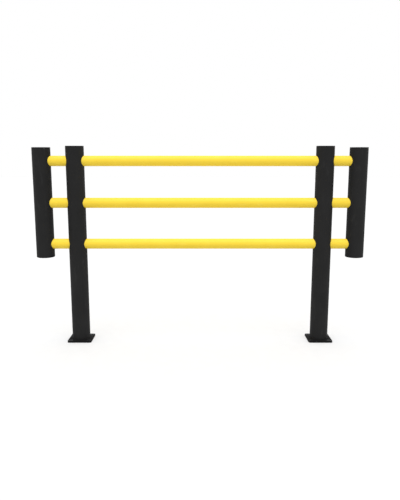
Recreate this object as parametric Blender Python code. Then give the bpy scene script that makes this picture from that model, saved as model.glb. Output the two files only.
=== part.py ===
"""Three-rail safety barrier: two floor posts on steel base plates, two short end posts, three rails.

Metres, +Z up. X runs along the rails, Y from front (-Y) to back (+Y). The origin is on the floor,
midway between the two floor posts.
"""

import math

import bmesh
import bpy
from mathutils import Matrix, Vector

# Driving dimensions
BARRIER_HEIGHT = 1.100
FLOOR_POST_SPACING = 1.371  # centre to centre
END_POST_SPACING = 1.738  # centre to centre
TOP_RAIL_HEIGHT = 1.0185  # to the rail's axis
RAIL_PITCH = 0.2295
END_POST_LENGTH = 0.607  # over both caps, centred on the middle rail

POST_RADIUS = 0.050
POST_WALL = 0.007
RAIL_RADIUS = 0.0285
RAIL_WALL = 0.005
RAIL_PAST_AXIS = 0.030  # from an end post's axis to the rail's end, short of the far wall

PLATE_SIZE = 0.135
PLATE_THICKNESS = 0.010
PLATE_CORNER = 0.010

# Clearances between pieces
GAP = 0.0003  # faces that rest on each other
SLIP = 0.0005  # round pieces that slide into each other

# Caps: a brim on the tube's end and a skirt inside the tube
CAP_BRIM = 0.006
CAP_EDGE = 0.0015
CAP_SKIRT_DEPTH = 0.025
CAP_SKIRT_WALL = 0.003

# Locking pins: one through the back of each post into each rail
PIN_RADIUS = 0.008
PIN_HEAD_RADIUS = 0.013
PIN_HEAD_RISE = 0.0045
PIN_SEAT = 0.0035  # depth of the flat seat, from the post's outside
PIN_TIP_PROUD = 0.004  # how far the pin's tip stands out of the rail's front wall
HEAD_RIM = 0.25  # the part of a head's rise that is upright rim

# Foot: a spigot tube welded to the base plate, inside the floor post
SPIGOT_RADIUS = POST_RADIUS - POST_WALL - SLIP
SPIGOT_WALL = 0.004
SPIGOT_HEIGHT = 0.160
WELD_LEG = 0.005

# Foot screws: they hold the floor post on the spigot, at the back
FOOT_SCREW_HEIGHT = 0.080
FOOT_SCREW_ANGLE = math.radians(40)  # to each side of straight back
FOOT_SCREW_RADIUS = 0.005
FOOT_SCREW_HEAD_RADIUS = 0.009
FOOT_SCREW_HEAD_RISE = 0.0045
FOOT_SCREW_REACH = 0.005  # past the spigot's inner wall
FOOT_SCREW_SEAT = 0.0015

# Anchor screws: countersunk, one at each corner of each base plate
ANCHOR_OFFSET = 0.051  # from the post's axis, along X and along Y
ANCHOR_RADIUS = 0.006
ANCHOR_HEAD_RADIUS = 0.012
ANCHOR_SOCKET_RADIUS = 0.0046
ANCHOR_SOCKET_DEPTH = 0.004

# Facets round a full turn
POST_SIDES = 32
RAIL_SIDES = 24
PIN_SIDES = 16
ANCHOR_SIDES = 20
HEX_SIDES = 6
ARC_STEPS = 2  # in a head's dome
CORNER_STEPS = 4  # round a base plate's corner
SHARP_ANGLE = math.radians(30)  # edges sharper than this are shaded as edges
MERGE_DISTANCE = 1e-6

# Worked out from the dimensions above
POST_BORE = POST_RADIUS - POST_WALL
SIDES = {"left": -1, "right": 1}
RAIL_HEIGHTS = {
    "top": TOP_RAIL_HEIGHT,
    "middle": TOP_RAIL_HEIGHT - RAIL_PITCH,
    "bottom": TOP_RAIL_HEIGHT - 2 * RAIL_PITCH,
}
FLOOR_POST_X = FLOOR_POST_SPACING / 2
END_POST_X = END_POST_SPACING / 2
END_POST_BOTTOM = RAIL_HEIGHTS["middle"] - END_POST_LENGTH / 2
END_POST_TOP = RAIL_HEIGHTS["middle"] + END_POST_LENGTH / 2
RAIL_LENGTH = 2 * (END_POST_X + RAIL_PAST_AXIS)
PIN_TIP = -(RAIL_RADIUS + PIN_TIP_PROUD)  # short of the post's front wall
BEYOND = 0.010  # how far a cutter runs past the surface that it cuts

BACKWARDS = Matrix.Rotation(math.radians(-90), 4, "X")  # turns +Z to +Y
ALONG_RAIL = Matrix.Rotation(math.radians(90), 4, "Y")  # turns +Z to +X


def clear_scene():
    for obj in list(bpy.data.objects):
        bpy.data.objects.remove(obj)


def make_material(name, colour, roughness, metallic=0.0):
    material = bpy.data.materials.new(name)
    material.use_nodes = True
    shader = material.node_tree.nodes["Principled BSDF"]
    shader.inputs["Base Color"].default_value = (*colour, 1.0)
    shader.inputs["Roughness"].default_value = roughness
    shader.inputs["Metallic"].default_value = metallic
    material.diffuse_color = (*colour, 1.0)
    return material


def revolved(profile, sides, closed=False):
    """The mesh that a line of (radius, height) points sweeps round Z. A closed line makes a ring."""
    bm = bmesh.new()
    points = [bm.verts.new((radius, 0, height)) for radius, height in profile]
    pairs = list(zip(points, points[1:]))
    if closed:
        pairs.append((points[-1], points[0]))
    lines = [bm.edges.new(pair) for pair in pairs]
    bmesh.ops.spin(
        bm,
        geom=points + lines,
        cent=(0, 0, 0),
        axis=(0, 0, 1),
        angle=math.tau,
        steps=sides,
        use_merge=True,
    )
    bmesh.ops.remove_doubles(bm, verts=bm.verts, dist=MERGE_DISTANCE)
    bmesh.ops.recalc_face_normals(bm, faces=bm.faces)
    mesh = bpy.data.meshes.new("revolved")
    bm.to_mesh(mesh)
    bm.free()
    return mesh


def placed(mesh, matrix):
    mesh.transform(matrix)
    return mesh


def tube_mesh(outer, inner, low, high, sides):
    return revolved([(outer, low), (outer, high), (inner, high), (inner, low)], sides, closed=True)


def cylinder_mesh(radius, low, high, sides):
    return revolved([(0, low), (radius, low), (radius, high), (0, high)], sides)


def joined(meshes):
    """Several separate shapes as one mesh, for a cutter."""
    bm = bmesh.new()
    for mesh in meshes:
        bm.from_mesh(mesh)
    whole = bpy.data.meshes.new("cutter")
    bm.to_mesh(whole)
    bm.free()
    return whole


def add_node(name, mesh, material, location=(0, 0, 0), turn=None):
    """One sub-part: its mesh gets its name and material, and its object its place."""
    mesh.name = name
    mesh.materials.clear()
    mesh.materials.append(material)
    mesh.shade_smooth()
    mesh.set_sharp_from_angle(angle=SHARP_ANGLE)
    obj = bpy.data.objects.new(name, mesh)
    bpy.context.scene.collection.objects.link(obj)
    obj.matrix_world = Matrix.Translation(location) @ (turn or Matrix())
    return obj


def cut(obj, meshes):
    """Takes the shapes out of obj with one Boolean. They are in obj's own space."""
    cutter = bpy.data.objects.new(obj.name + "_cutter", joined(meshes))
    bpy.context.scene.collection.objects.link(cutter)
    cutter.matrix_world = obj.matrix_world
    cutter.hide_render = True
    cutter.display_type = "WIRE"
    modifier = obj.modifiers.new("holes", "BOOLEAN")
    modifier.operation = "DIFFERENCE"
    modifier.solver = "EXACT"
    modifier.object = cutter


def dome_arc(radius, rise):
    """The profile of a low dome, from its rim at height 0 to its middle on the axis."""
    sphere = (radius**2 + rise**2) / (2 * rise)
    start = math.acos(radius / sphere)
    points = []
    for step in range(ARC_STEPS):
        angle = start + (math.pi / 2 - start) * step / ARC_STEPS
        points.append((sphere * math.cos(angle), sphere * math.sin(angle) + rise - sphere))
    return points + [(0, rise)]


def headed_pin(head_radius, rise, shank_radius, length):
    """A pin along Z: the head's seat at height 0, its dome above, its shank below."""
    profile = [(0, -length), (shank_radius, -length), (shank_radius, 0), (head_radius, 0)]
    rim = rise * HEAD_RIM
    dome = [(x, z + rim) for x, z in dome_arc(head_radius, rise - rim)]
    return revolved(profile + dome, PIN_SIDES)


def stepped_hole(hole_radius, start, seat_radius, seat):
    """A cutter along Z for a headed pin: the hole from start to seat, and the head's flat seat above."""
    beyond = POST_RADIUS + BEYOND
    profile = [
        (0, start),
        (hole_radius, start),
        (hole_radius, seat),
        (seat_radius, seat),
        (seat_radius, beyond),
        (0, beyond),
    ]
    return revolved(profile, PIN_SIDES)


def radial(height, angle):
    """Turns +Z outwards from a post's axis, at that height, angle measured from straight back."""
    return Matrix.Translation((0, 0, height)) @ Matrix.Rotation(angle, 4, "Z") @ BACKWARDS


def pin_hole(height):
    """The hole and seat for the locking pin in a post's back wall."""
    start = (RAIL_RADIUS + POST_BORE) / 2
    seat = POST_RADIUS - PIN_SEAT
    hole = stepped_hole(PIN_RADIUS + SLIP, start, PIN_HEAD_RADIUS + SLIP, seat)
    return placed(hole, radial(height, 0))


def foot_screw_hole(angle):
    start = SPIGOT_RADIUS - SPIGOT_WALL - BEYOND
    seat = POST_RADIUS - FOOT_SCREW_SEAT
    head = FOOT_SCREW_HEAD_RADIUS + SLIP
    hole = stepped_hole(FOOT_SCREW_RADIUS + SLIP, start, head, seat)
    return placed(hole, radial(FOOT_SCREW_HEIGHT, angle))


def rail_hole(height, low, high):
    """The hole for a rail, from low to high along X."""
    hole = cylinder_mesh(RAIL_RADIUS + SLIP, low, high, RAIL_SIDES)
    return placed(hole, Matrix.Translation((0, 0, height)) @ ALONG_RAIL)


def make_floor_post(side, material):
    low = PLATE_THICKNESS + GAP
    high = BARRIER_HEIGHT - CAP_BRIM - GAP
    tube = tube_mesh(POST_RADIUS, POST_BORE, low, high, POST_SIDES)
    post = add_node(f"floor_post_{side}", tube, material, (SIDES[side] * FLOOR_POST_X, 0, 0))
    reach = POST_RADIUS + BEYOND
    holes = [rail_hole(z, -reach, reach) for z in RAIL_HEIGHTS.values()]
    holes += [pin_hole(z) for z in RAIL_HEIGHTS.values()]
    holes += [foot_screw_hole(sign * FOOT_SCREW_ANGLE) for sign in (-1, 1)]
    cut(post, holes)


def make_end_post(side, material):
    """A short tube that the rails enter from its inner side only."""
    low = END_POST_BOTTOM + CAP_BRIM + GAP
    high = END_POST_TOP - CAP_BRIM - GAP
    tube = tube_mesh(POST_RADIUS, POST_BORE, low, high, POST_SIDES)
    post = add_node(f"end_post_{side}", tube, material, (SIDES[side] * END_POST_X, 0, 0))
    reach = -SIDES[side] * (POST_RADIUS + BEYOND)
    holes = [rail_hole(z, min(0, reach), max(0, reach)) for z in RAIL_HEIGHTS.values()]
    holes += [pin_hole(z) for z in RAIL_HEIGHTS.values()]
    cut(post, holes)


def make_cap(name, x, z, material, upside_down=False):
    """A moulded cap: brim above height 0, hollow skirt below it, inside the tube."""
    skirt = POST_BORE - SLIP
    inner = skirt - CAP_SKIRT_WALL
    profile = [
        (0, 0),
        (inner, 0),
        (inner, -CAP_SKIRT_DEPTH),
        (skirt, -CAP_SKIRT_DEPTH),
        (skirt, 0),
        (POST_RADIUS, 0),
        (POST_RADIUS, CAP_BRIM - CAP_EDGE),
        (POST_RADIUS - CAP_EDGE, CAP_BRIM),
        (0, CAP_BRIM),
    ]
    turn = Matrix.Rotation(math.pi, 4, "X") if upside_down else None
    add_node(name, revolved(profile, POST_SIDES), material, (x, 0, z), turn)


def make_rail(level, material):
    half = RAIL_LENGTH / 2
    tube = tube_mesh(RAIL_RADIUS, RAIL_RADIUS - RAIL_WALL, -half, half, RAIL_SIDES)
    rail = add_node(f"rail_{level}", placed(tube, ALONG_RAIL), material, (0, 0, RAIL_HEIGHTS[level]))
    reach = RAIL_RADIUS + BEYOND
    holes = []
    for x in (-END_POST_X, -FLOOR_POST_X, FLOOR_POST_X, END_POST_X):
        hole = cylinder_mesh(PIN_RADIUS + SLIP, -reach, reach, PIN_SIDES)
        holes.append(placed(hole, Matrix.Translation((x, 0, 0)) @ BACKWARDS))
    cut(rail, holes)


def make_locking_pin(name, x, z, material):
    seat = POST_RADIUS - PIN_SEAT + GAP
    pin = headed_pin(PIN_HEAD_RADIUS, PIN_HEAD_RISE, PIN_RADIUS, seat - PIN_TIP)
    add_node(name, pin, material, (x, seat, z), BACKWARDS)


def make_base_plate(side, material):
    bm = bmesh.new()
    bmesh.ops.create_cube(bm, size=1)
    bmesh.ops.scale(bm, vec=(PLATE_SIZE, PLATE_SIZE, PLATE_THICKNESS), verts=bm.verts)
    bmesh.ops.translate(bm, vec=(0, 0, PLATE_THICKNESS / 2), verts=bm.verts)
    upright = [e for e in bm.edges if abs(e.verts[0].co.z - e.verts[1].co.z) > PLATE_THICKNESS / 2]
    bmesh.ops.bevel(
        bm,
        geom=upright,
        offset=PLATE_CORNER,
        affect="EDGES",
        segments=CORNER_STEPS,
        profile=0.5,
        material=-1,
    )
    mesh = bpy.data.meshes.new("plate")
    bm.to_mesh(mesh)
    bm.free()
    plate = add_node(f"base_plate_{side}", mesh, material, (SIDES[side] * FLOOR_POST_X, 0, 0))
    hole = ANCHOR_RADIUS + SLIP
    sink = ANCHOR_HEAD_RADIUS + SLIP
    profile = [
        (0, -BEYOND),
        (hole, -BEYOND),
        (hole, PLATE_THICKNESS - (sink - hole)),
        (sink, PLATE_THICKNESS),
        (sink, PLATE_THICKNESS + BEYOND),
        (0, PLATE_THICKNESS + BEYOND),
    ]
    holes = [placed(revolved(profile, ANCHOR_SIDES), Matrix.Translation(p)) for p in anchor_places()]
    cut(plate, holes)


def anchor_places():
    """The four corners of the hole pattern, from a floor post's axis."""
    return [Vector((x * ANCHOR_OFFSET, y * ANCHOR_OFFSET, 0)) for y in (-1, 1) for x in (-1, 1)]


def make_spigot(side, material):
    low = PLATE_THICKNESS + GAP
    inner = SPIGOT_RADIUS - SPIGOT_WALL
    tube = tube_mesh(SPIGOT_RADIUS, inner, low, low + SPIGOT_HEIGHT, POST_SIDES)
    spigot = add_node(f"foot_spigot_{side}", tube, material, (SIDES[side] * FLOOR_POST_X, 0, 0))
    holes = []
    for sign in (-1, 1):
        hole = cylinder_mesh(FOOT_SCREW_RADIUS + SLIP, inner - BEYOND, POST_RADIUS, PIN_SIDES)
        holes.append(placed(hole, radial(FOOT_SCREW_HEIGHT, sign * FOOT_SCREW_ANGLE)))
    cut(spigot, holes)


def make_weld(side, material):
    """The fillet weld, a ring of triangular section where the spigot's inside meets the plate."""
    outer = SPIGOT_RADIUS - SPIGOT_WALL - GAP
    low = PLATE_THICKNESS + GAP
    profile = [(outer - WELD_LEG, low), (outer, low), (outer, low + WELD_LEG)]
    ring = revolved(profile, POST_SIDES, closed=True)
    add_node(f"spigot_weld_{side}", ring, material, (SIDES[side] * FLOOR_POST_X, 0, 0))


def make_foot_screw(name, side, sign, material):
    seat = POST_RADIUS - FOOT_SCREW_SEAT + GAP
    length = seat - (SPIGOT_RADIUS - SPIGOT_WALL - FOOT_SCREW_REACH)
    screw = headed_pin(FOOT_SCREW_HEAD_RADIUS, FOOT_SCREW_HEAD_RISE, FOOT_SCREW_RADIUS, length)
    turn = radial(FOOT_SCREW_HEIGHT, sign * FOOT_SCREW_ANGLE) @ Matrix.Translation((0, 0, seat))
    add_node(name, screw, material, (SIDES[side] * FLOOR_POST_X, 0, 0), turn)


def make_anchor(name, side, place, material):
    """A countersunk screw with a hexagon socket, flush with the plate and cut off at its underside."""
    top = PLATE_THICKNESS - GAP
    profile = [
        (0, GAP),
        (ANCHOR_RADIUS, GAP),
        (ANCHOR_RADIUS, top - (ANCHOR_HEAD_RADIUS - ANCHOR_RADIUS)),
        (ANCHOR_HEAD_RADIUS, top),
        (0, top),
    ]
    location = place + Vector((SIDES[side] * FLOOR_POST_X, 0, 0))
    screw = add_node(name, revolved(profile, ANCHOR_SIDES), material, location)
    floor_of_socket = top - ANCHOR_SOCKET_DEPTH
    cut(screw, [cylinder_mesh(ANCHOR_SOCKET_RADIUS, floor_of_socket, top + BEYOND, HEX_SIDES)])


def make_foot(side, plate_steel, galvanised, weld_metal, screw_steel):
    """All that holds one floor post to the floor."""
    make_base_plate(side, plate_steel)
    make_spigot(side, galvanised)
    make_weld(side, weld_metal)
    for number, sign in enumerate((-1, 1), start=1):
        make_foot_screw(f"foot_screw_{side}_{number}", side, sign, screw_steel)
    for number, place in enumerate(anchor_places(), start=1):
        make_anchor(f"anchor_screw_{side}_{number}", side, place, screw_steel)


def main():
    clear_scene()
    black_polymer = make_material("black_polymer", (0.024, 0.024, 0.025), 0.50)
    yellow_polymer = make_material("yellow_polymer", (0.93, 0.66, 0.06), 0.38)
    pin_polymer = make_material("pin_polymer", (0.020, 0.020, 0.021), 0.45)
    plate_steel = make_material("plate_steel", (0.022, 0.022, 0.023), 0.42)
    galvanised = make_material("galvanised_steel", (0.55, 0.57, 0.58), 0.45, 0.9)
    weld_metal = make_material("weld_metal", (0.35, 0.34, 0.33), 0.50, 0.9)
    screw_steel = make_material("black_zinc", (0.05, 0.05, 0.05), 0.40, 0.7)

    for level in RAIL_HEIGHTS:
        make_rail(level, yellow_polymer)
    for side, sign in SIDES.items():
        make_floor_post(side, black_polymer)
        make_end_post(side, black_polymer)
        floor_x, end_x = sign * FLOOR_POST_X, sign * END_POST_X
        make_cap(f"floor_post_cap_{side}", floor_x, BARRIER_HEIGHT - CAP_BRIM, black_polymer)
        make_cap(f"end_post_top_cap_{side}", end_x, END_POST_TOP - CAP_BRIM, black_polymer)
        make_cap(f"end_post_bottom_cap_{side}", end_x, END_POST_BOTTOM + CAP_BRIM, black_polymer, True)
        for level, z in RAIL_HEIGHTS.items():
            make_locking_pin(f"floor_post_pin_{side}_{level}", floor_x, z, pin_polymer)
            make_locking_pin(f"end_post_pin_{side}_{level}", end_x, z, pin_polymer)
        make_foot(side, plate_steel, galvanised, weld_metal, screw_steel)


main()
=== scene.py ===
import math

import bmesh
import bpy
from mathutils import Matrix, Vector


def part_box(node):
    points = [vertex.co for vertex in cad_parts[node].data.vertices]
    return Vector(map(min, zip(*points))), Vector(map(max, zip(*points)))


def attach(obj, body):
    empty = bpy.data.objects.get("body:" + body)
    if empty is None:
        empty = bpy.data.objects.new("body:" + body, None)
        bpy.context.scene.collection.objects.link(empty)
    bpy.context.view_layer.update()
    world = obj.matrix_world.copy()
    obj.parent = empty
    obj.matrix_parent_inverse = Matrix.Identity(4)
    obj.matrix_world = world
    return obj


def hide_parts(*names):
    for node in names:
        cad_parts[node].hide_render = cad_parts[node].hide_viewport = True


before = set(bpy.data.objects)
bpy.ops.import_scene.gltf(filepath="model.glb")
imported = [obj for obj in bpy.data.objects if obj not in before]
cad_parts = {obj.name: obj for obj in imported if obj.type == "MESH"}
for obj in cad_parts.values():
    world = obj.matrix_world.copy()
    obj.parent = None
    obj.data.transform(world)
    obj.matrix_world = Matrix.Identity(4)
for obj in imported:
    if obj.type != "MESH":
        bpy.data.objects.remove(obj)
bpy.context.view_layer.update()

body = "root"
sideNames = ("left", "right")
levelNames = ("top", "middle", "bottom")
mm = 0.001
mergeDistance = 1e-6
sharpAngle = math.radians(30)


def middleOf(node):
    low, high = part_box(node)
    return (low + high) / 2


def sizeOf(node):
    # a CAD node's length along X, Y and Z, in mm
    low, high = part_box(node)
    return (high - low) / mm


def profilePoints(bm, outline):
    # outline: (radius, height) pairs in mm, from one end to the other
    return [bm.verts.new((radius * mm, 0, height * mm)) for radius, height in outline]


def turned(outline, sides, ring=False):
    # turns an outline round Z; a ring's outline closes on itself, any other starts and ends on the axis
    bm = bmesh.new()
    points = profilePoints(bm, outline)
    lines = [bm.edges.new(pair) for pair in zip(points, points[1:])]
    if ring:
        lines.append(bm.edges.new((points[-1], points[0])))
    bmesh.ops.spin(bm, geom=points + lines, cent=(0, 0, 0), axis=(0, 0, 1), angle=math.tau,
                   steps=sides, use_merge=True)
    bmesh.ops.remove_doubles(bm, verts=bm.verts, dist=mergeDistance)
    bmesh.ops.recalc_face_normals(bm, faces=bm.faces)
    return bm


def curved(centre, radius, fromDegrees, toDegrees, steps=4):
    # a round stretch of an outline, in mm
    points = []
    for step in range(steps + 1):
        angle = math.radians(fromDegrees + (toDegrees - fromDegrees) * step / steps)
        points.append((centre[0] + radius * math.cos(angle), centre[1] + radius * math.sin(angle)))
    return points


def moved(bm, matrix):
    bmesh.ops.transform(bm, matrix=matrix, verts=bm.verts)
    return bm


def at(x, y, z):
    return Matrix.Translation((x, y, z))


alongX = Matrix.Rotation(math.radians(90), 4, "Y")
alongY = Matrix.Rotation(math.radians(-90), 4, "X")
upsideDown = Matrix.Rotation(math.pi, 4, "X")


def meshFrom(bm, name):
    mesh = bpy.data.meshes.new(name)
    bm.to_mesh(mesh)
    bm.free()
    return mesh


def cutOut(bm, tools):
    # takes the tool shapes out of bm, and returns what is left as a new bmesh
    joined = bmesh.new()
    for tool in tools:
        joined.from_mesh(meshFrom(tool, "tool"))
    blank = bpy.data.objects.new("blank", meshFrom(bm, "blank"))
    drill = bpy.data.objects.new("drill", meshFrom(joined, "drill"))
    for obj in (blank, drill):
        bpy.context.scene.collection.objects.link(obj)
    hole = blank.modifiers.new("hole", "BOOLEAN")
    hole.operation = "DIFFERENCE"
    hole.solver = "EXACT"
    hole.object = drill
    result = bmesh.new()
    result.from_object(blank, bpy.context.evaluated_depsgraph_get())
    for obj in (blank, drill):
        bpy.data.objects.remove(obj)
    bmesh.ops.dissolve_degenerate(result, dist=mergeDistance, edges=result.edges)
    return result


def finishPiece(bm, name, node, material):
    obj = bpy.data.objects.new(name, meshFrom(bm, name))
    bpy.context.scene.collection.objects.link(obj)
    obj.data.shade_smooth()
    obj.data.set_sharp_from_angle(angle=sharpAngle)
    obj.data.materials.append(material)
    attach(obj, body)
    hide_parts(node)
    return obj


def linear(hexColour):
    # an sRGB hex colour as linear values for a socket
    channels = [int(hexColour[i:i + 2], 16) / 255 for i in (1, 3, 5)]
    scaled = [c / 12.92 if c <= 0.04045 else ((c + 0.055) / 1.055) ** 2.4 for c in channels]
    return (*scaled, 1.0)


def addNode(material, kind, settings=None, links=None, **attributes):
    # a node with its attributes, its socket values, and the outputs that feed it; gives its outputs
    node = material.node_tree.nodes.new(kind)
    for name, value in attributes.items():
        setattr(node, name, value)
    for socket, value in (settings or {}).items():
        node.inputs[socket].default_value = value
    for socket, output in (links or {}).items():
        material.node_tree.links.new(output, node.inputs[socket])
    return node.outputs


def newMaterial(name, look):
    # the shader with its fixed values, and the piece's own coordinates in metres
    material = bpy.data.materials.new(name)
    material.use_nodes = True
    shader = material.node_tree.nodes["Principled BSDF"]
    for socket, value in look.items():
        shader.inputs[socket].default_value = value
    place = addNode(material, "ShaderNodeTexCoord")["Object"]
    return material, shader, place


def feed(material, shader, tone, roughness, normal):
    # joins a finish's colour, gloss and relief to the shader
    for socket, output in (("Base Color", tone), ("Roughness", roughness), ("Normal", normal)):
        material.node_tree.links.new(output, shader.inputs[socket])


def perMetre(sizeInMm):
    # a noise or cell pattern's scale, from the real size of one mottle
    return 1000 / sizeInMm


# a noise pattern's values lie mostly in this span
noiseSpan = {"From Min": 0.3, "From Max": 0.7}
# the Mix node's colour sockets have the same names as its others, so they go by number
mixFirst = 6
mixSecond = 7
mixed = 2


postFinish = {
    "look": {"Metallic": 0.0, "IOR": 1.49, "Specular IOR Level": 0.12},
    "colours": ("#191919", "#1e1e1e"),
    "roughness": (0.62, 0.74),
    "along": (1, 1, 0.004),
    "cloud": 90,
    "dieLine": 2.2,
    "dieLineDepth": 0.03,
    "grain": 1.4,
    "grainDepth": 0.09,
    "speckleColour": "#252525",
    "speckleStrength": 0.35,
    "rub": 22,
    "rubStretch": (1, 1, 0.3),
    "rubSpan": (0.6, 0.8),
    "rubColour": "#2d2d2d",
    "rubStrength": 0.6,
}
railFinish = {
    "look": {"Metallic": 0.0, "IOR": 1.49, "Specular IOR Level": 0.17},
    "colours": ("#e6c83c", "#e2c338"),
    "roughness": (0.36, 0.48),
    "along": (0.004, 1, 1),
    "cloud": 90,
    "dieLine": 2.2,
    "dieLineDepth": 0.03,
    "grain": 1.4,
    "grainDepth": 0.05,
    "speckleColour": "#dcb932",
    "speckleStrength": 0.25,
    "rub": 22,
    "rubStretch": (0.3, 1, 1),
    "rubSpan": (0.6, 0.8),
    "rubColour": "#ecd25a",
    "rubStrength": 0.4,
}


def extrudedPolymer(name, finish):
    # extruded polyolefin tube, coloured right through: a satin skin with faint lines along its length
    # from the die, slow clouds in its tone, a fine speckle, and sparse short rub marks from handling.
    # The real grain is a tenth of a millimetre, and is drawn coarser so that it shows.
    material, shader, place = newMaterial(name, finish["look"])
    clouds = addNode(material, "ShaderNodeTexNoise",
                     {"Scale": perMetre(finish["cloud"]), "Detail": 3.0}, {"Vector": place})["Fac"]
    grain = addNode(material, "ShaderNodeTexNoise",
                    {"Scale": perMetre(finish["grain"]), "Detail": 2.0}, {"Vector": place})["Fac"]
    alongTube = addNode(material, "ShaderNodeMapping", {"Scale": finish["along"]}, {"Vector": place})
    lines = addNode(material, "ShaderNodeTexNoise", {"Scale": perMetre(finish["dieLine"]), "Detail": 2.0},
                    {"Vector": alongTube["Vector"]})["Fac"]
    drawnOut = addNode(material, "ShaderNodeMapping", {"Scale": finish["rubStretch"]}, {"Vector": place})
    rubs = addNode(material, "ShaderNodeTexNoise", {"Scale": perMetre(finish["rub"]), "Detail": 4.0},
                   {"Vector": drawnOut["Vector"]})["Fac"]

    first, second = finish["colours"]
    cloudy = addNode(material, "ShaderNodeMapRange", noiseSpan, {"Value": clouds})["Result"]
    tone = addNode(material, "ShaderNodeMix", {mixFirst: linear(first), mixSecond: linear(second)},
                   {"Factor": cloudy}, data_type="RGBA")[mixed]
    speckled = addNode(material, "ShaderNodeMapRange", {**noiseSpan, "To Max": finish["speckleStrength"]},
                       {"Value": grain})["Result"]
    tone = addNode(material, "ShaderNodeMix", {mixSecond: linear(finish["speckleColour"])},
                   {"Factor": speckled, mixFirst: tone}, data_type="RGBA")[mixed]
    rubLow, rubHigh = finish["rubSpan"]
    rubbed = addNode(material, "ShaderNodeMapRange",
                     {"From Min": rubLow, "From Max": rubHigh, "To Max": finish["rubStrength"]},
                     {"Value": rubs})["Result"]
    tone = addNode(material, "ShaderNodeMix", {mixSecond: linear(finish["rubColour"])},
                   {"Factor": rubbed, mixFirst: tone}, data_type="RGBA")[mixed]

    smooth, rough = finish["roughness"]
    roughness = addNode(material, "ShaderNodeMapRange", {**noiseSpan, "To Min": smooth, "To Max": rough},
                        {"Value": lines})["Result"]
    ridges = addNode(material, "ShaderNodeBump", {"Distance": finish["dieLineDepth"] * mm},
                     {"Height": lines})["Normal"]
    relief = addNode(material, "ShaderNodeBump", {"Distance": finish["grainDepth"] * mm},
                     {"Height": grain, "Normal": ridges})["Normal"]
    feed(material, shader, tone, roughness, relief)
    return material


mouldedFinish = {
    "look": {"Metallic": 0.0, "IOR": 1.49, "Specular IOR Level": 0.14},
    "colours": ("#131313", "#171717"),
    "roughness": (0.52, 0.66),
    "cloud": 40,
    "pebble": 1.2,
    "pebbleDepth": 0.1,
}


def mouldedPolymer(name, finish):
    # injection-moulded cap and pin polymer: matt and a little darker than the tubes, with the even
    # pebble of a spark-eroded mould, which is drawn ten times as coarse as the real one so that it shows
    material, shader, place = newMaterial(name, finish["look"])
    pebble = addNode(material, "ShaderNodeTexNoise",
                     {"Scale": perMetre(finish["pebble"]), "Detail": 1.0}, {"Vector": place})["Fac"]
    clouds = addNode(material, "ShaderNodeTexNoise",
                     {"Scale": perMetre(finish["cloud"]), "Detail": 2.0}, {"Vector": place})["Fac"]
    first, second = finish["colours"]
    cloudy = addNode(material, "ShaderNodeMapRange", noiseSpan, {"Value": clouds})["Result"]
    tone = addNode(material, "ShaderNodeMix", {mixFirst: linear(first), mixSecond: linear(second)},
                   {"Factor": cloudy}, data_type="RGBA")[mixed]
    smooth, rough = finish["roughness"]
    roughness = addNode(material, "ShaderNodeMapRange", {**noiseSpan, "To Min": smooth, "To Max": rough},
                        {"Value": pebble})["Result"]
    relief = addNode(material, "ShaderNodeBump", {"Distance": finish["pebbleDepth"] * mm},
                     {"Height": pebble})["Normal"]
    feed(material, shader, tone, roughness, relief)
    return material


coatFinish = {
    "look": {"Metallic": 0.0, "IOR": 1.5, "Specular IOR Level": 0.12},
    "colours": ("#070707", "#0c0c0b"),
    "roughness": (0.74, 0.88),
    "dust": 25,
    "peel": 3.0,
    "peelDepth": 0.12,
    "grain": 1.1,
    "grainDepth": 0.08,
    "grainColour": "#141413",
    "grainStrength": 0.4,
}


def powderCoat(name, finish):
    # black polyester powder coat on steel, in a fine matt texture: low wide waves called orange peel, a
    # tight grain on top of them that breaks up the gloss, and a thin film of dust. The real grain is a
    # quarter of a millimetre, and is drawn coarser so that it shows.
    material, shader, place = newMaterial(name, finish["look"])
    peel = addNode(material, "ShaderNodeTexNoise",
                   {"Scale": perMetre(finish["peel"]), "Detail": 1.0}, {"Vector": place})["Fac"]
    grain = addNode(material, "ShaderNodeTexNoise",
                    {"Scale": perMetre(finish["grain"]), "Detail": 2.0}, {"Vector": place})["Fac"]
    dust = addNode(material, "ShaderNodeTexNoise",
                   {"Scale": perMetre(finish["dust"]), "Detail": 4.0}, {"Vector": place})["Fac"]
    first, second = finish["colours"]
    dusty = addNode(material, "ShaderNodeMapRange", noiseSpan, {"Value": dust})["Result"]
    tone = addNode(material, "ShaderNodeMix", {mixFirst: linear(first), mixSecond: linear(second)},
                   {"Factor": dusty}, data_type="RGBA")[mixed]
    grainy = addNode(material, "ShaderNodeMapRange", {**noiseSpan, "To Max": finish["grainStrength"]},
                     {"Value": grain})["Result"]
    tone = addNode(material, "ShaderNodeMix", {mixSecond: linear(finish["grainColour"])},
                   {"Factor": grainy, mixFirst: tone}, data_type="RGBA")[mixed]
    smooth, rough = finish["roughness"]
    roughness = addNode(material, "ShaderNodeMapRange", {**noiseSpan, "To Min": smooth, "To Max": rough},
                        {"Value": dust})["Result"]
    waves = addNode(material, "ShaderNodeBump", {"Distance": finish["peelDepth"] * mm},
                    {"Height": peel})["Normal"]
    relief = addNode(material, "ShaderNodeBump", {"Distance": finish["grainDepth"] * mm},
                     {"Height": grain, "Normal": waves})["Normal"]
    feed(material, shader, tone, roughness, relief)
    return material


zincFinish = {
    "look": {"Metallic": 1.0},
    "colours": ("#9ea2a4", "#c2c5c7"),
    "roughness": (0.34, 0.52),
    "crystal": 8,
    "ripple": 4,
    "rippleDepth": 0.04,
}


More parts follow.
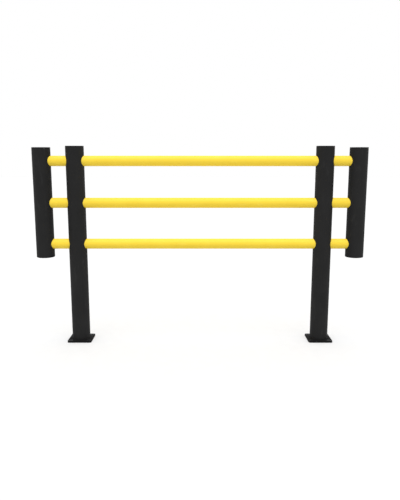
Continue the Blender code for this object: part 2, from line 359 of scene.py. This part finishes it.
def galvanisedSteel(name, finish):
    # hot-dip galvanised steel: pale grey zinc crystals, each with its own tone and gloss
    material, shader, place = newMaterial(name, finish["look"])
    crystals = addNode(material, "ShaderNodeTexVoronoi", {"Scale": perMetre(finish["crystal"])},
                       {"Vector": place})["Color"]
    tint = addNode(material, "ShaderNodeSeparateColor", links={"Color": crystals})
    first, second = finish["colours"]
    tone = addNode(material, "ShaderNodeMix", {mixFirst: linear(first), mixSecond: linear(second)},
                   {"Factor": tint["Red"]}, data_type="RGBA")[mixed]
    smooth, rough = finish["roughness"]
    roughness = addNode(material, "ShaderNodeMapRange", {"To Min": smooth, "To Max": rough},
                        {"Value": tint["Green"]})["Result"]
    ripples = addNode(material, "ShaderNodeTexNoise",
                      {"Scale": perMetre(finish["ripple"]), "Detail": 2.0}, {"Vector": place})["Fac"]
    relief = addNode(material, "ShaderNodeBump", {"Distance": finish["rippleDepth"] * mm},
                     {"Height": ripples})["Normal"]
    feed(material, shader, tone, roughness, relief)
    return material


weldFinish = {
    "look": {"Metallic": 1.0},
    "colours": ("#6c6a67", "#9a9894"),
    "roughness": (0.5, 0.65),
    "grain": 1.5,
    "grainDetail": 3.0,
    "grainDepth": 0.15,
}
flakeFinish = {
    "look": {"Metallic": 0.4, "Specular IOR Level": 0.2},
    "colours": ("#141415", "#1f1f20"),
    "roughness": (0.42, 0.56),
    "grain": 1.0,
    "grainDetail": 2.0,
    "grainDepth": 0.02,
}


def zincCoat(name, finish):
    # two zinc coats, each with one grain in its tone, gloss and relief. Sprayed zinc on a weld bead is
    # rough and dull, and darker in its hollows. Black zinc flake on screws is thin, dull and dark, with
    # a little metal in it: real flakes are hundredths of a millimetre, and are drawn a millimetre across
    # so that they show.
    material, shader, place = newMaterial(name, finish["look"])
    grain = addNode(material, "ShaderNodeTexNoise",
                    {"Scale": perMetre(finish["grain"]), "Detail": finish["grainDetail"]},
                    {"Vector": place})["Fac"]
    first, second = finish["colours"]
    grainy = addNode(material, "ShaderNodeMapRange", noiseSpan, {"Value": grain})["Result"]
    tone = addNode(material, "ShaderNodeMix", {mixFirst: linear(first), mixSecond: linear(second)},
                   {"Factor": grainy}, data_type="RGBA")[mixed]
    smooth, rough = finish["roughness"]
    roughness = addNode(material, "ShaderNodeMapRange", {**noiseSpan, "To Min": smooth, "To Max": rough},
                        {"Value": grain})["Result"]
    relief = addNode(material, "ShaderNodeBump", {"Distance": finish["grainDepth"] * mm},
                     {"Height": grain})["Normal"]
    feed(material, shader, tone, roughness, relief)
    return material


postPolymer = extrudedPolymer("blackExtrudedPolymer", postFinish)
railPolymer = extrudedPolymer("yellowExtrudedPolymer", railFinish)
moulded = mouldedPolymer("blackMouldedPolymer", mouldedFinish)
plateCoat = powderCoat("blackPowderCoat", coatFinish)
zincedSteel = galvanisedSteel("galvanisedSteel", zincFinish)
weldMetal = zincCoat("zincSprayedWeld", weldFinish)
screwCoat = zincCoat("blackZincFlake", flakeFinish)
print("materials made")


rail = {
    "radius": sizeOf("rail_top").z / 2,
    "wall": 5.0,
    "sides": 96,
    "endChamfer": 0.6,
    "clearance": 0.5,
}
post = {
    "radius": sizeOf("floor_post_left").x / 2,
    "wall": 7.0,
    "sides": 128,
    "endChamfer": 0.4,
    "drillBeyond": 10.0,
}
spigot = {
    "radius": 42.5,
    "wall": 4.0,
    "chamfer": 1.0,
}
pin = {
    "shank": 8.0,
    "head": 13.0,
    "rise": 4.5,
    "rim": 1.2,
    "seatDepth": 3.5,
    "clearance": 0.5,
    "gapUnderHead": 0.3,
    "tipChamfer": 1.5,
    "sides": 48,
}
footScrew = {
    "height": 80.0,
    "degreesFromBack": 40.0,
    "shank": 5.0,
    "head": 9.0,
    "rise": 4.5,
    "rim": 1.0,
    "seatDepth": 1.5,
    "clearance": 0.5,
    "gapUnderHead": 0.3,
    "reach": 5.0,
    "tipChamfer": 1.0,
    "socket": 3.4,
    "socketDepth": 2.6,
    "sides": 40,
}
hexSides = 6


def tubeOutline(outer, inner, length, chamfer):
    return [
        (outer - chamfer, 0),
        (outer, chamfer),
        (outer, length - chamfer),
        (outer - chamfer, length),
        (inner + chamfer, length),
        (inner, length - chamfer),
        (inner, chamfer),
        (inner + chamfer, 0),
    ]


def plainDrill(radius, low, high, sides):
    return turned([(0, low), (radius, low), (radius, high), (0, high)], sides)


def steppedDrill(hole, start, seatRadius, seat, sides):
    # the hole for a headed pin: narrow from start to its seat, then as wide as its head
    beyond = post["radius"] + post["drillBeyond"]
    outline = [
        (0, start),
        (hole, start),
        (hole, seat),
        (seatRadius, seat),
        (seatRadius, beyond),
        (0, beyond),
    ]
    return turned(outline, sides)


def outwards(height, degrees):
    # turns +Z to point out of a post, at that height, with degrees measured from straight back
    return at(0, 0, height) @ Matrix.Rotation(math.radians(degrees), 4, "Z") @ alongY


def railHeights():
    return [middleOf(f"rail_{level}").z for level in levelNames]


def pinDrills():
    drills = []
    start = (rail["radius"] + post["radius"] - post["wall"]) / 2  # between the rail and the post's wall
    for height in railHeights():
        drill = steppedDrill(pin["shank"] + pin["clearance"], start, pin["head"] + pin["clearance"],
                             post["radius"] - pin["seatDepth"], pin["sides"])
        drills.append(moved(drill, outwards(height, 0)))
    return drills


def railDrills(low, high):
    drills = []
    for height in railHeights():
        drill = plainDrill(rail["radius"] + rail["clearance"], low, high, rail["sides"])
        drills.append(moved(drill, at(0, 0, height) @ alongX))
    return drills


def footScrewTurns():
    # the two foot screws sit at this angle to each side of straight back
    return [sign * footScrew["degreesFromBack"] for sign in (-1, 1)]


def footScrewDrills():
    drills = []
    start = spigot["radius"] - spigot["wall"] - post["drillBeyond"]
    clearance = footScrew["clearance"]
    for degrees in footScrewTurns():
        drill = steppedDrill(footScrew["shank"] + clearance, start, footScrew["head"] + clearance,
                             post["radius"] - footScrew["seatDepth"], footScrew["sides"])
        drills.append(moved(drill, outwards(footScrew["height"] * mm, degrees)))
    return drills


def makePost(node, drills):
    low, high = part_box(node)
    axisX = middleOf(node).x
    length = (high.z - low.z) / mm
    outline = tubeOutline(post["radius"], post["radius"] - post["wall"], length, post["endChamfer"])
    bm = moved(turned(outline, post["sides"], ring=True), at(0, 0, low.z))
    bm = cutOut(bm, drills)
    moved(bm, at(axisX, 0, 0))
    return finishPiece(bm, "fine_" + node, node, postPolymer)


for side in sideNames:
    reach = post["radius"] + post["drillBeyond"]
    makePost(f"floor_post_{side}", railDrills(-reach, reach) + pinDrills() + footScrewDrills())
    inner = (0, reach) if side == "left" else (-reach, 0)
    makePost(f"end_post_{side}", railDrills(*inner) + pinDrills())
print("posts made")


cap = {
    "brim": 6.0,
    "edge": 1.8,
    "edgeSteps": 6,
    "skirt": 42.5,
    "skirtWall": 3.0,
    "skirtDepth": 25.0,
    "skirtTaper": (1.0, 3.0),
    "fillet": 2.0,
    "dishRadius": 43.0,
    "dishDepth": 0.7,
    "dishSlope": 0.6,
    "dishShoulder": 0.2,
    "gateRadius": 3.0,
    "gateHeight": 0.35,
    "gateSlope": 0.3,
}


def capOutline():
    # a skirt that tapers in at its foot, a brim, a shallow dish in its top and the moulding gate's mark
    floorOfDish = cap["brim"] - cap["dishDepth"]
    inner = cap["skirt"] - cap["skirtWall"]
    fillet = cap["fillet"]
    taperIn, taperUp = cap["skirtTaper"]
    edgeCentre = (post["radius"] - cap["edge"], cap["brim"] - cap["edge"])
    return [
        (0, 0),
        (inner - fillet, 0),
        *curved((inner - fillet, -fillet), fillet, 90, 0),
        (inner, -cap["skirtDepth"]),
        (cap["skirt"] - taperIn, -cap["skirtDepth"]),
        (cap["skirt"], -cap["skirtDepth"] + taperUp),
        (cap["skirt"], 0),
        (post["radius"], 0),
        *curved(edgeCentre, cap["edge"], 0, 90, cap["edgeSteps"]),
        (cap["dishRadius"] + cap["dishSlope"], cap["brim"]),
        (cap["dishRadius"], cap["brim"] - cap["dishShoulder"]),
        (cap["dishRadius"] - cap["dishSlope"], floorOfDish),
        (cap["gateRadius"] + cap["gateSlope"], floorOfDish),
        (cap["gateRadius"], floorOfDish + cap["gateHeight"]),
        (0, floorOfDish + cap["gateHeight"]),
    ]


def makeCap(node, turn, faceHeight):
    bm = turned(capOutline(), post["sides"])
    moved(bm, at(middleOf(node).x, 0, faceHeight) @ turn)
    finishPiece(bm, "fine_" + node, node, moulded)


for side in sideNames:
    for node in (f"floor_post_cap_{side}", f"end_post_top_cap_{side}"):
        makeCap(node, Matrix(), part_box(node)[1].z - cap["brim"] * mm)
    node = f"end_post_bottom_cap_{side}"
    makeCap(node, upsideDown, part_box(node)[0].z + cap["brim"] * mm)
print("caps made")


def makeRail(level):
    node = f"rail_{level}"
    low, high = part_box(node)
    outline = tubeOutline(rail["radius"], rail["radius"] - rail["wall"], (high.x - low.x) / mm,
                          rail["endChamfer"])
    height = middleOf(node).z
    bm = moved(turned(outline, rail["sides"], ring=True), at(low.x, 0, height) @ alongX)
    reach = rail["radius"] + post["drillBeyond"]
    drills = []
    for side in sideNames:
        for holder in (f"floor_post_{side}", f"end_post_{side}"):
            drill = plainDrill(pin["shank"] + pin["clearance"], -reach, reach, pin["sides"])
            drills.append(moved(drill, at(middleOf(holder).x, 0, height) @ alongY))
    finishPiece(cutOut(bm, drills), "fine_" + node, node, railPolymer)


for level in levelNames:
    makeRail(level)
print("rails made")


headForm = {
    "domeInset": 0.6,
    "domeSteps": 8,
    "shoulderDrop": 0.3,
    "shoulderInset": 0.25,
    "shoulderRise": 0.05,
}


def headOutline(radius, rise, rim):
    # from the head's seat at height 0 round its rim and over a low dome to the axis
    dome = rise - rim
    sphere = (radius ** 2 + dome ** 2) / (2 * dome)
    start = math.degrees(math.acos((radius - headForm["domeInset"]) / sphere))
    arch = curved((0, rise - sphere), sphere, start, 90, headForm["domeSteps"])
    return [
        (radius, 0),
        (radius, rim - headForm["shoulderDrop"]),
        (radius - headForm["shoulderInset"], rim + headForm["shoulderRise"]),
        *arch[:-1],
        (0, rise),
    ]


def makePin(node):
    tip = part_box(node)[0].y / mm
    seat = post["radius"] - pin["seatDepth"] + pin["gapUnderHead"]
    length = seat - tip
    outline = [
        (0, -length),
        (pin["shank"] - pin["tipChamfer"], -length),
        (pin["shank"], -length + pin["tipChamfer"]),
        (pin["shank"], 0),
        *headOutline(pin["head"], pin["rise"], pin["rim"]),
    ]
    centre = middleOf(node)
    bm = moved(turned(outline, pin["sides"]), at(centre.x, seat * mm, centre.z) @ alongY)
    finishPiece(bm, "fine_" + node, node, moulded)


for side in sideNames:
    for level in levelNames:
        makePin(f"floor_post_pin_{side}_{level}")
        makePin(f"end_post_pin_{side}_{level}")
print("pins made")


plate = {
    "corner": 10.0,
    "cornerSegments": 10,
    "edge": 0.9,
    "edgeSegments": 3,
    "hole": 6.5,
    "sink": 12.5,
    "drillBeyond": 10.0,
    "sides": 64,
}
anchor = {
    "offset": 51.0,
    "perPlate": 4,
    "shank": 6.0,
    "head": 12.0,
    "edge": 0.3,
    "socket": 4.6,
    "socketDepth": 4.0,
    "mouthDepth": 0.6,
    "sides": 64,
}
weld = {
    "leg": 5.0,
    "hollow": 1.2,
    "turn": 0.58,
    "still": 0.1,
    "gap": 0.3,
    "ripples": 70,
    "rippleHeight": 0.25,
    "sides": 280,
}


def makePlate(side):
    node = f"base_plate_{side}"
    low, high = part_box(node)
    thickness = sizeOf(node).z
    bm = bmesh.new()
    bmesh.ops.create_cube(bm, size=1)
    bmesh.ops.scale(bm, vec=high - low, verts=bm.verts)
    upright = [e for e in bm.edges if abs(e.verts[0].co.z - e.verts[1].co.z) > thickness * mm / 2]
    bmesh.ops.bevel(bm, geom=upright, offset=plate["corner"] * mm, affect="EDGES",
                    segments=plate["cornerSegments"], profile=0.5, material=-1)
    rim = [e for e in bm.edges if abs(e.verts[0].co.z - e.verts[1].co.z) < mm]
    bmesh.ops.bevel(bm, geom=rim, offset=plate["edge"] * mm, affect="EDGES",
                    segments=plate["edgeSegments"], profile=0.5, material=-1)
    moved(bm, at(0, 0, thickness / 2 * mm))
    outline = [
        (0, -plate["drillBeyond"]),
        (plate["hole"], -plate["drillBeyond"]),
        (plate["hole"], thickness - plate["sink"] + plate["hole"]),
        (plate["sink"], thickness),
        (plate["sink"], thickness + plate["drillBeyond"]),
        (0, thickness + plate["drillBeyond"]),
    ]
    drills = [moved(turned(outline, plate["sides"]), at(*spot)) for spot in anchorSpots()]
    bm = moved(cutOut(bm, drills), at(middleOf(node).x, 0, 0))
    finishPiece(bm, "fine_" + node, node, plateCoat)


def anchorSpots():
    reach = anchor["offset"] * mm
    return [(x * reach, y * reach, 0) for y in (-1, 1) for x in (-1, 1)]


def makeAnchor(node):
    low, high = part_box(node)
    top = high.z / mm
    outline = [
        (0, low.z / mm),
        (anchor["shank"], low.z / mm),
        (anchor["shank"], top - anchor["head"] + anchor["shank"]),
        (anchor["head"], top - anchor["edge"]),
        (anchor["head"] - anchor["edge"], top),
        (0, top),
    ]
    bm = turned(outline, anchor["sides"])
    key = plainDrill(anchor["socket"], top - anchor["socketDepth"], top + plate["drillBeyond"], hexSides)
    depth = anchor["mouthDepth"]
    mouthOutline = [
        (0, top - depth),
        (anchor["socket"] - depth, top - depth),
        (anchor["socket"] + depth, top + depth),
        (0, top + depth),
    ]
    mouth = turned(mouthOutline, anchor["sides"])
    bm = cutOut(cutOut(bm, [key]), [mouth])
    moved(bm, at(middleOf(node).x, middleOf(node).y, 0))
    finishPiece(bm, "fine_" + node, node, screwCoat)


def makeSpigot(side):
    node = f"foot_spigot_{side}"
    low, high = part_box(node)
    outline = tubeOutline(spigot["radius"], spigot["radius"] - spigot["wall"], (high.z - low.z) / mm,
                          spigot["chamfer"])
    bm = moved(turned(outline, post["sides"], ring=True), at(0, 0, low.z))
    drills = []
    start = spigot["radius"] - spigot["wall"] - post["drillBeyond"]
    for degrees in footScrewTurns():
        drill = plainDrill(footScrew["shank"] + footScrew["clearance"], start, post["radius"],
                           footScrew["sides"])
        drills.append(moved(drill, outwards(footScrew["height"] * mm, degrees)))
    bm = moved(cutOut(bm, drills), at(middleOf(node).x, 0, 0))
    finishPiece(bm, "fine_" + node, node, zincedSteel)


def makeWeld(side):
    # a fillet with a slightly hollow face, rippled by the run of the torch except where it is still,
    # against the tube and against the plate
    node = f"spigot_weld_{side}"
    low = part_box(node)[0]
    outer = spigot["radius"] - spigot["wall"] - weld["gap"]
    leg = weld["leg"]
    hollow = weld["hollow"]
    halfway = leg * weld["turn"]
    still = weld["still"] * mm
    outline = [
        (outer, 0),
        (outer, leg),
        (outer - hollow, halfway),
        (outer - halfway, hollow),
        (outer - leg, 0),
    ]
    bm = turned(outline, weld["sides"], ring=True)
    for vert in bm.verts:
        radius = vert.co.xy.length
        if abs(radius - outer * mm) > still and vert.co.z > still:
            angle = math.atan2(vert.co.y, vert.co.x)
            lift = weld["rippleHeight"] * mm * math.sin(weld["ripples"] * angle)
            vert.co.xy *= (radius + lift) / radius
    moved(bm, at(middleOf(node).x, 0, low.z))
    finishPiece(bm, "fine_" + node, node, weldMetal)


def makeFootScrew(node, side, degrees):
    seat = post["radius"] - footScrew["seatDepth"] + footScrew["gapUnderHead"]
    tip = spigot["radius"] - spigot["wall"] - footScrew["reach"]
    chamfer = footScrew["tipChamfer"]
    head = headOutline(footScrew["head"], footScrew["rise"], footScrew["rim"])
    outline = [
        (0, tip),
        (footScrew["shank"] - chamfer, tip),
        (footScrew["shank"], tip + chamfer),
        (footScrew["shank"], seat),
        *[(x, z + seat) for x, z in head],
    ]
    bm = turned(outline, footScrew["sides"])
    top = seat + footScrew["rise"]
    key = plainDrill(footScrew["socket"], top - footScrew["socketDepth"], top + post["drillBeyond"],
                     hexSides)
    bm = cutOut(bm, [key])
    place = at(middleOf(f"floor_post_{side}").x, 0, 0) @ outwards(footScrew["height"] * mm, degrees)
    finishPiece(moved(bm, place), "fine_" + node, node, screwCoat)


for side in sideNames:
    makePlate(side)
    makeSpigot(side)
    makeWeld(side)
    for number in range(1, anchor["perPlate"] + 1):
        makeAnchor(f"anchor_screw_{side}_{number}")
    for number, degrees in enumerate(footScrewTurns(), start=1):
        makeFootScrew(f"foot_screw_{side}_{number}", side, degrees)
print("feet made")


studio = {
    "floorSize": 40.0,
    "floorLook": {"Roughness": 0.9, "Specular IOR Level": 0.1},
    "floorColours": ("#cccccc", "#d0d0d0"),
    "rollerMark": 60,
    "skyColour": "#ffffff",
    "skyStrength": 1.0,
    "keyStrength": 2.3,
    "keyElevation": 75.0,
    "keySoftness": 60.0,
}
cameraView = {
    "lens": 39.8,
    "sensor": 36.0,
    "place": (0, -3.067, 1.064),
    "tilt": 80.0,
}


def makeFloor():
    bm = bmesh.new()
    bmesh.ops.create_grid(bm, x_segments=1, y_segments=1, size=studio["floorSize"] / 2)
    floor = bpy.data.objects.new("studio_floor", meshFrom(bm, "studio_floor"))
    bpy.context.scene.collection.objects.link(floor)
    # matt painted studio floor: even and pale, with the faintest roller mottle
    material, shader, place = newMaterial("paleFloorPaint", studio["floorLook"])
    roller = addNode(material, "ShaderNodeTexNoise",
                     {"Scale": perMetre(studio["rollerMark"]), "Detail": 2.0}, {"Vector": place})["Fac"]
    first, second = studio["floorColours"]
    tone = addNode(material, "ShaderNodeMix", {mixFirst: linear(first), mixSecond: linear(second)},
                   {"Factor": roller}, data_type="RGBA")[mixed]
    material.node_tree.links.new(tone, shader.inputs["Base Color"])
    floor.data.materials.append(material)


def makeSky():
    world = bpy.data.worlds.new("studio_sky")
    world.use_nodes = True
    background = world.node_tree.nodes["Background"]
    background.inputs["Color"].default_value = linear(studio["skyColour"])
    background.inputs["Strength"].default_value = studio["skyStrength"]
    bpy.context.scene.world = world


def makeKey():
    # a broad soft light from high in front. It casts no shadow of its own, so that the white floor stays
    # even and only the sky's soft contact shadows are left
    data = bpy.data.lights.new("key", "SUN")
    data.use_shadow = False
    data.energy = studio["keyStrength"]
    data.angle = math.radians(studio["keySoftness"])
    obj = bpy.data.objects.new("key", data)
    bpy.context.scene.collection.objects.link(obj)
    obj.rotation_euler = (math.radians(90 - studio["keyElevation"]), 0, 0)


def makeCamera():
    data = bpy.data.cameras.new("camera")
    data.lens = cameraView["lens"]
    data.sensor_width = cameraView["sensor"]
    obj = bpy.data.objects.new("camera", data)
    bpy.context.scene.collection.objects.link(obj)
    obj.location = cameraView["place"]
    obj.rotation_euler = (math.radians(cameraView["tilt"]), 0, 0)
    bpy.context.scene.camera = obj


makeFloor()
makeSky()
makeKey()
makeCamera()
bpy.context.scene.view_settings.view_transform = "Standard"
print("studio made")
